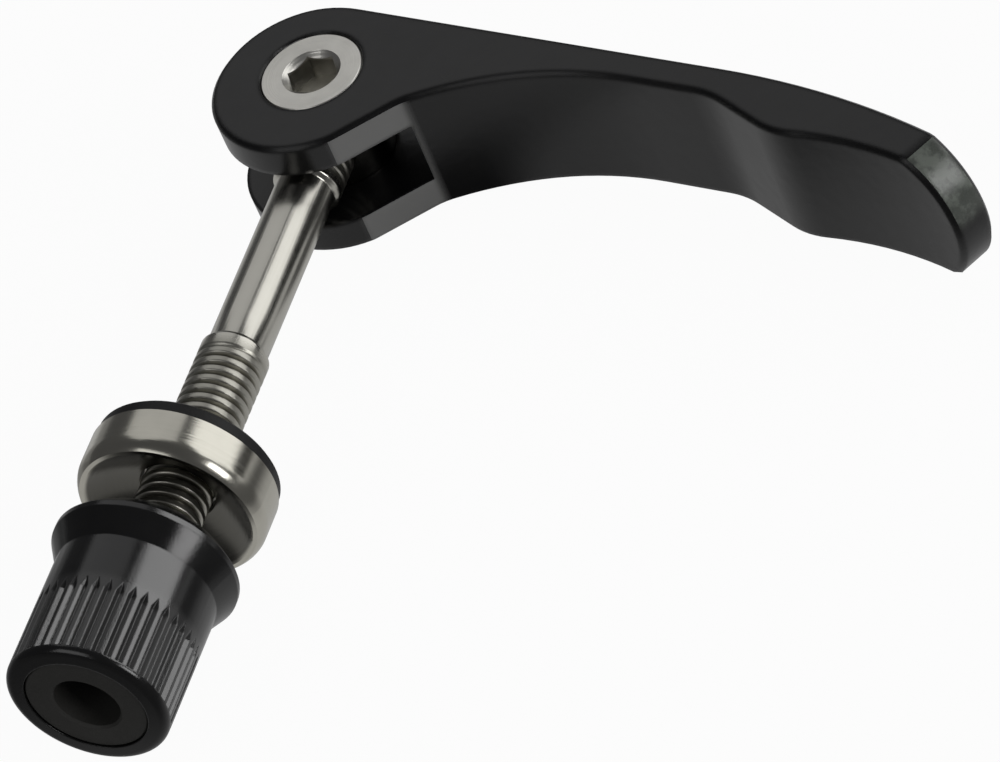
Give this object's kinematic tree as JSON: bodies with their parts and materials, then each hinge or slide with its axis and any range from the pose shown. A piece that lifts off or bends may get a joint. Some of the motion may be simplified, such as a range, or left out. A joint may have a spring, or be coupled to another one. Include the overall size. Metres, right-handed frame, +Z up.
{
  "type": "quick release seatpost clamp",
  "caption": "Quick release seatpost clamp: a curved cam lever on a cross pin, a threaded stud, a dished washer and a knurled nut.",
  "frame": {"origin": "Where the lever's pivot axis crosses the stud's axis, halfway through the lever's thickness.", "axes": "+X runs along the stud from the lever to the nut, +Z is the pivot axis, and the closed handle lies along +Y. The part lies on its side with Z up."},
  "size_m": [0.0707, 0.0688, 0.0158],
  "materials": {
    "black_anodised": "gloss black anodised",
    "pin_steel": "turned, polished",
    "stud_steel": "drawn, polished, rolled thread",
    "black_washer": "satin black",
    "washer_steel": "turned, polished",
    "black_nut": "gloss black anodised",
    "insert_nylon": "matte dark grey"
  },
  "bodies": {
    "skewer": {"stud": "stud_steel", "cross_pin": "pin_steel"},
    "lever": {"lever": "black_anodised"},
    "washers": {"back_washer": "black_washer", "cup_washer": "washer_steel"},
    "nut_core": {"nut_insert": "insert_nylon"},
    "nut": {"knurled_nut": "black_nut"}
  },
  "joints": [
    {"name": "lever_pivot", "type": "hinge", "parent": "skewer", "child": "lever", "pos_m": [0, 0, 0], "axis": [0, 0, 1], "range_deg": [0, 180]},
    {"name": "washer_slide", "type": "slide", "parent": "skewer", "child": "washers", "axis": [1, 0, 0], "range_m": [-0.028, 0]},
    {"name": "nut_travel", "type": "slide", "parent": "skewer", "child": "nut_core", "axis": [1, 0, 0], "range_m": [-0.003, 0.004]},
    {"name": "nut_spin", "type": "hinge", "parent": "nut_core", "child": "nut", "pos_m": [0.05, 0, 0], "axis": [1, 0, 0], "range_deg": [-1090, 1450]}
  ],
  "couplings": [
    {"joint": "nut_spin", "follows": "nut_travel", "rad_per_m": 6283.2}
  ]
}
